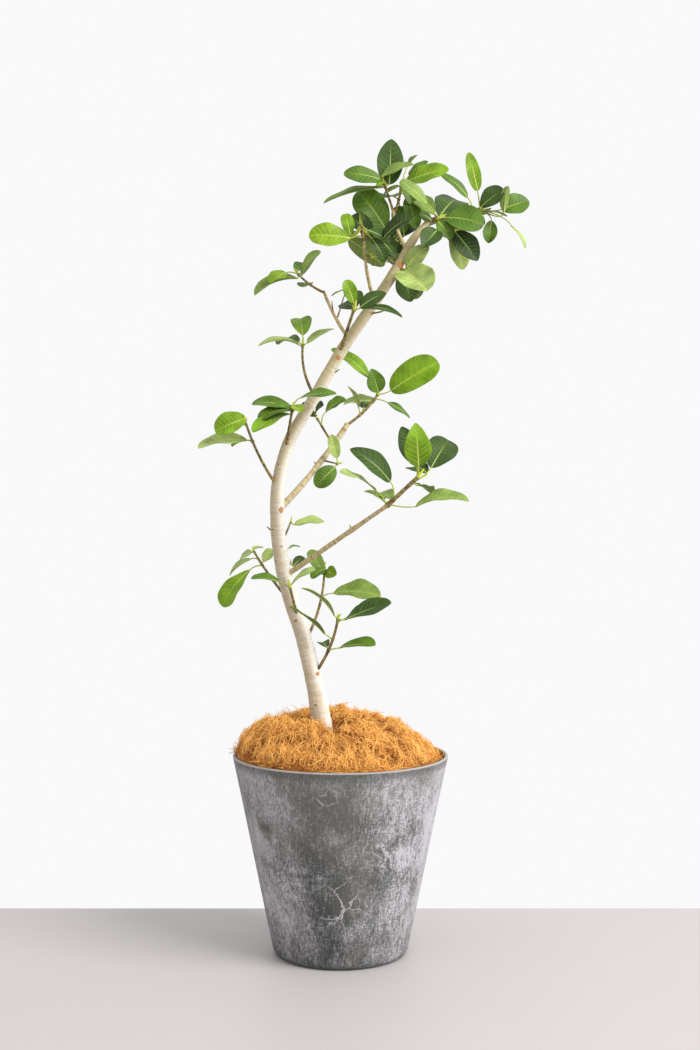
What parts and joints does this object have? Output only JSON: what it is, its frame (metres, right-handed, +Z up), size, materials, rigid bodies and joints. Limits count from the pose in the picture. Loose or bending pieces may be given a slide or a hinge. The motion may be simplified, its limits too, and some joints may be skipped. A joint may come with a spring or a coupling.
{
  "type": "potted banyan tree",
  "caption": "Slender potted banyan fig with a curved pale trunk, short leafy shoots and an open crown of broad oval leaves, in a tapered grey marbled pot topped with coconut fibre.",
  "frame": {"origin": "middle of the pot's flat underside, where it stands", "axes": "+Z up, +X to the right and -Y towards the viewer in the reference picture"},
  "size_m": [0.5731, 0.37, 1.4042],
  "materials": {
    "pot": "satin",
    "soil": "matte",
    "coir": "matte",
    "bark": "matte",
    "leaves": "satin"
  },
  "bodies": {
    "root": {"pot": "pot", "soil": "soil", "coir_mound": "coir", "trunk": "bark", "bough_crown_left": "bark", "bough_crown_right": "bark", "bough_crown_top": "bark", "bough_left_upper": "bark", "bough_right_long": "bark", "bough_right_mid": "bark", "foliage_bough_inner": "leaves", "foliage_bough_low": "leaves", "foliage_crown_core": "leaves", "foliage_crown_far_right": "leaves", "foliage_crown_high": "leaves", "foliage_crown_high_left": "leaves", "foliage_crown_left": "leaves", "foliage_crown_low_right": "leaves", "foliage_crown_middle": "leaves", "foliage_crown_right": "leaves", "foliage_crown_throat": "leaves", "foliage_inner_right": "leaves", "foliage_left_inner": "leaves", "foliage_left_spur": "leaves", "foliage_left_upper": "leaves", "foliage_low_front": "leaves", "foliage_low_left": "leaves", "foliage_low_right": "leaves", "foliage_mid_front": "leaves", "foliage_mid_left": "leaves", "foliage_right_long": "leaves", "foliage_right_mid": "leaves", "foliage_trunk_front": "leaves", "foliage_waist_back": "leaves", "foliage_waist_right": "leaves"}
  },
  "joints": []
}
